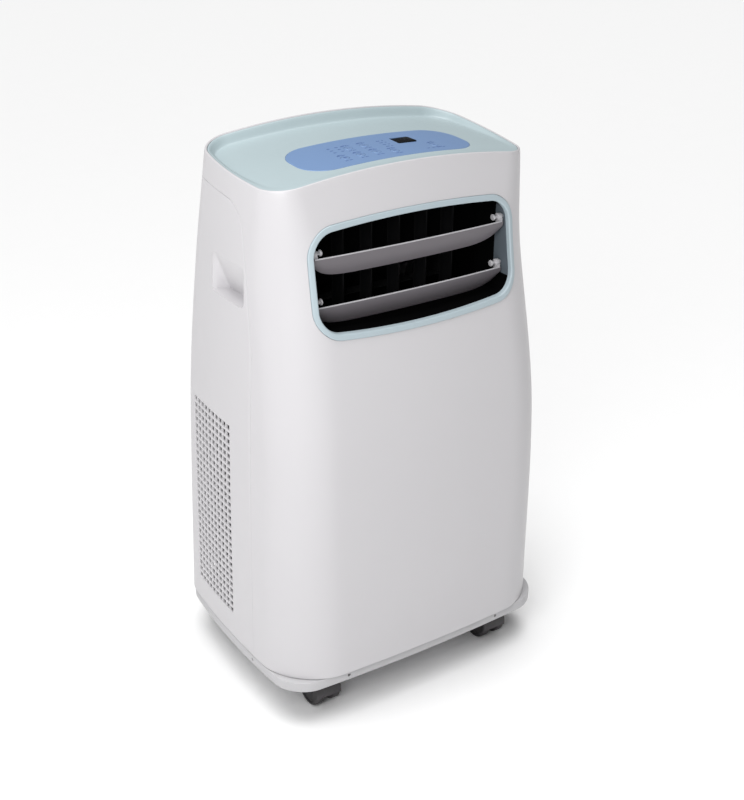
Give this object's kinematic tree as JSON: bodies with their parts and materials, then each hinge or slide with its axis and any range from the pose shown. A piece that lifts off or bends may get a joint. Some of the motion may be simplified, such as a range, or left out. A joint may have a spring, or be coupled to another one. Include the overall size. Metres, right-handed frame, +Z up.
{
  "type": "portable air conditioner",
  "caption": "Floor-standing portable air conditioner with a louvred front outlet, dished top with control panel, side intake grilles and swivel casters.",
  "frame": {"origin": "on the floor under the middle of the cabinet's outline", "axes": "+Z up, -Y towards the air outlet at the front, +X to the right of a person who faces the front"},
  "size_m": [0.429, 0.3439, 0.74],
  "materials": {
    "shell_white": "satin, faintly textured",
    "panel_grey": "satin",
    "cover_blue_grey": "satin",
    "ring_blue_grey": "satin",
    "overlay_blue": "smooth film",
    "key_grey": "smooth",
    "display_smoke": "polished",
    "louver_grey": "satin",
    "black_plastic": "satin",
    "dark_rubber": "matt",
    "filter_grey": "mesh",
    "galvanised": "zinc",
    "aluminium_fin": "fins",
    "copper": "drawn copper tube",
    "compressor_black": "black paint",
    "board_green": "solder mask",
    "foam_white": "moulded"
  },
  "bodies": {
    "cabinet": {"accumulator": "compressor_black", "base_tray": "panel_grey", "compressor": "compressor_black", "condenser_coil": "aluminium_fin", "condenser_motor": "galvanised", "condenser_scroll": "foam_white", "control_board": "board_green", "control_panel": "overlay_blue", "cord_gland": "black_plastic", "discharge_pipe": "copper", "display_window": "display_smoke", "electrical_box": "galvanised", "evaporator_coil": "aluminium_fin", "evaporator_motor": "galvanised", "evaporator_scroll": "foam_white", "exhaust_collar": "panel_grey", "front_shell": "shell_white", "grip_left": "shell_white", "grip_right": "shell_white", "left_side_panel": "shell_white", "middle_deck": "foam_white", "outlet_duct": "black_plastic", "outlet_frame": "ring_blue_grey", "rear_panel": "shell_white", "right_side_panel": "shell_white", "suction_pipe": "copper", "swing_motor": "galvanised", "top_cover": "cover_blue_grey"},
    "louver_upper": {"louver_upper": "louver_grey"},
    "louver_lower": {"louver_lower": "louver_grey"},
    "louver_link": {"louver_link": "black_plastic"},
    "vane_1": {"vane_1": "black_plastic"},
    "vane_2": {"vane_2": "black_plastic"},
    "vane_3": {"vane_3": "black_plastic"},
    "vane_4": {"vane_4": "black_plastic"},
    "vane_5": {"vane_5": "black_plastic"},
    "vane_link": {"vane_link": "black_plastic"},
    "key_mode": {"key_mode": "key_grey"},
    "key_fan": {"key_fan": "key_grey"},
    "key_timer": {"key_timer": "key_grey"},
    "key_swing": {"key_swing": "key_grey"},
    "key_up": {"key_up": "key_grey"},
    "key_down": {"key_down": "key_grey"},
    "key_power": {"key_power": "key_grey"},
    "caster_1": {"caster_hood_1": "black_plastic"},
    "wheels_1": {"caster_wheels_1": "dark_rubber"},
    "caster_2": {"caster_hood_2": "black_plastic"},
    "wheels_2": {"caster_wheels_2": "dark_rubber"},
    "caster_3": {"caster_hood_3": "black_plastic"},
    "wheels_3": {"caster_wheels_3": "dark_rubber"},
    "caster_4": {"caster_hood_4": "black_plastic"},
    "wheels_4": {"caster_wheels_4": "dark_rubber"},
    "condenser_wheel": {"condenser_wheel": "black_plastic"},
    "evaporator_wheel": {"evaporator_wheel": "black_plastic"},
    "rear_grille": {"rear_grille": "panel_grey", "air_filter": "filter_grey"},
    "drain_plug_low": {"drain_plug_low": "dark_rubber"},
    "drain_plug_high": {"drain_plug_high": "dark_rubber"}
  },
  "joints": [
    {"name": "louver_upper_tilt", "type": "hinge", "parent": "cabinet", "child": "louver_upper", "pos_m": [0, -0.1105, 0.6297], "axis": [1, 0, 0], "range_deg": [-35, 20]},
    {"name": "louver_lower_tilt", "type": "hinge", "parent": "cabinet", "child": "louver_lower", "pos_m": [0, -0.1105, 0.5697], "axis": [1, 0, 0], "range_deg": [-35, 20]},
    {"name": "louver_link_pivot", "type": "hinge", "parent": "louver_upper", "child": "louver_link", "pos_m": [0, -0.0965, 0.6237], "axis": [1, 0, 0], "range_deg": [-20, 35]},
    {"name": "vane_1_turn", "type": "hinge", "parent": "cabinet", "child": "vane_1", "pos_m": [-0.08, -0.064, 0.5975], "axis": [0, 0, 1], "range_deg": [-35, 35]},
    {"name": "vane_2_turn", "type": "hinge", "parent": "cabinet", "child": "vane_2", "pos_m": [-0.04, -0.064, 0.5975], "axis": [0, 0, 1], "range_deg": [-35, 35]},
    {"name": "vane_3_turn", "type": "hinge", "parent": "cabinet", "child": "vane_3", "pos_m": [0, -0.064, 0.5975], "axis": [0, 0, 1], "range_deg": [-35, 35]},
    {"name": "vane_4_turn", "type": "hinge", "parent": "cabinet", "child": "vane_4", "pos_m": [0.04, -0.064, 0.5975], "axis": [0, 0, 1], "range_deg": [-35, 35]},
    {"name": "vane_5_turn", "type": "hinge", "parent": "cabinet", "child": "vane_5", "pos_m": [0.08, -0.064, 0.5975], "axis": [0, 0, 1], "range_deg": [-35, 35]},
    {"name": "vane_link_pivot", "type": "hinge", "parent": "vane_1", "child": "vane_link", "pos_m": [-0.08, -0.078, 0.5402], "axis": [0, 0, 1], "range_deg": [-35, 35]},
    {"name": "key_mode_press", "type": "slide", "parent": "cabinet", "child": "key_mode", "axis": [0, 0, -1], "range_m": [0, 0.0006], "stiffness_N_per_m": 600, "springref_m": -0.0006},
    {"name": "key_fan_press", "type": "slide", "parent": "cabinet", "child": "key_fan", "axis": [0, 0, -1], "range_m": [0, 0.0006], "stiffness_N_per_m": 600, "springref_m": -0.0006},
    {"name": "key_timer_press", "type": "slide", "parent": "cabinet", "child": "key_timer", "axis": [0, 0, -1], "range_m": [0, 0.0006], "stiffness_N_per_m": 600, "springref_m": -0.0006},
    {"name": "key_swing_press", "type": "slide", "parent": "cabinet", "child": "key_swing", "axis": [0, 0, -1], "range_m": [0, 0.0006], "stiffness_N_per_m": 600, "springref_m": -0.0006},
    {"name": "key_up_press", "type": "slide", "parent": "cabinet", "child": "key_up", "axis": [0, 0, -1], "range_m": [0, 0.0006], "stiffness_N_per_m": 600, "springref_m": -0.0006},
    {"name": "key_down_press", "type": "slide", "parent": "cabinet", "child": "key_down", "axis": [0, 0, -1], "range_m": [0, 0.0006], "stiffness_N_per_m": 600, "springref_m": -0.0006},
    {"name": "key_power_press", "type": "slide", "parent": "cabinet", "child": "key_power", "axis": [0, 0, -1], "range_m": [0, 0.0006], "stiffness_N_per_m": 600, "springref_m": -0.0006},
    {"name": "caster_1_swivel", "type": "hinge", "parent": "cabinet", "child": "caster_1", "pos_m": [-0.139, -0.125, 0.0255], "axis": [0, 0, 1], "continuous": true},
    {"name": "wheels_1_roll", "type": "hinge", "parent": "caster_1", "child": "wheels_1", "pos_m": [-0.139, -0.115, 0.0255], "axis": [1, 0, 0], "continuous": true},
    {"name": "caster_2_swivel", "type": "hinge", "parent": "cabinet", "child": "caster_2", "pos_m": [0.139, -0.125, 0.0255], "axis": [0, 0, 1], "continuous": true},
    {"name": "wheels_2_roll", "type": "hinge", "parent": "caster_2", "child": "wheels_2", "pos_m": [0.139, -0.115, 0.0255], "axis": [1, 0, 0], "continuous": true},
    {"name": "caster_3_swivel", "type": "hinge", "parent": "cabinet", "child": "caster_3", "pos_m": [-0.139, 0.113, 0.0255], "axis": [0, 0, 1], "continuous": true},
    {"name": "wheels_3_roll", "type": "hinge", "parent": "caster_3", "child": "wheels_3", "pos_m": [-0.139, 0.123, 0.0255], "axis": [1, 0, 0], "continuous": true},
    {"name": "caster_4_swivel", "type": "hinge", "parent": "cabinet", "child": "caster_4", "pos_m": [0.139, 0.113, 0.0255], "axis": [0, 0, 1], "continuous": true},
    {"name": "wheels_4_roll", "type": "hinge", "parent": "caster_4", "child": "wheels_4", "pos_m": [0.139, 0.123, 0.0255], "axis": [1, 0, 0], "continuous": true},
    {"name": "condenser_wheel_spin", "type": "hinge", "parent": "cabinet", "child": "condenser_wheel", "pos_m": [0, 0.03, 0.29], "axis": [1, 0, 0], "continuous": true},
    {"name": "evaporator_wheel_spin", "type": "hinge", "parent": "cabinet", "child": "evaporator_wheel", "pos_m": [0, 0.024, 0.512], "axis": [1, 0, 0], "continuous": true},
    {"name": "rear_grille_pull", "type": "slide", "parent": "cabinet", "child": "rear_grille", "axis": [0, 1, 0], "range_m": [0, 0.08]},
    {"name": "drain_plug_low_pull", "type": "slide", "parent": "cabinet", "child": "drain_plug_low", "axis": [0, 1, 0], "range_m": [0, 0.03]},
    {"name": "drain_plug_high_pull", "type": "slide", "parent": "cabinet", "child": "drain_plug_high", "axis": [0, 1, 0], "range_m": [0, 0.03]}
  ],
  "couplings": [
    {"joint": "louver_lower_tilt", "follows": "louver_upper_tilt", "ratio": 1},
    {"joint": "louver_link_pivot", "follows": "louver_upper_tilt", "ratio": -1},
    {"joint": "vane_2_turn", "follows": "vane_1_turn", "ratio": 1},
    {"joint": "vane_3_turn", "follows": "vane_1_turn", "ratio": 1},
    {"joint": "vane_4_turn", "follows": "vane_1_turn", "ratio": 1},
    {"joint": "vane_5_turn", "follows": "vane_1_turn", "ratio": 1},
    {"joint": "vane_link_pivot", "follows": "vane_1_turn", "ratio": -1}
  ]
}
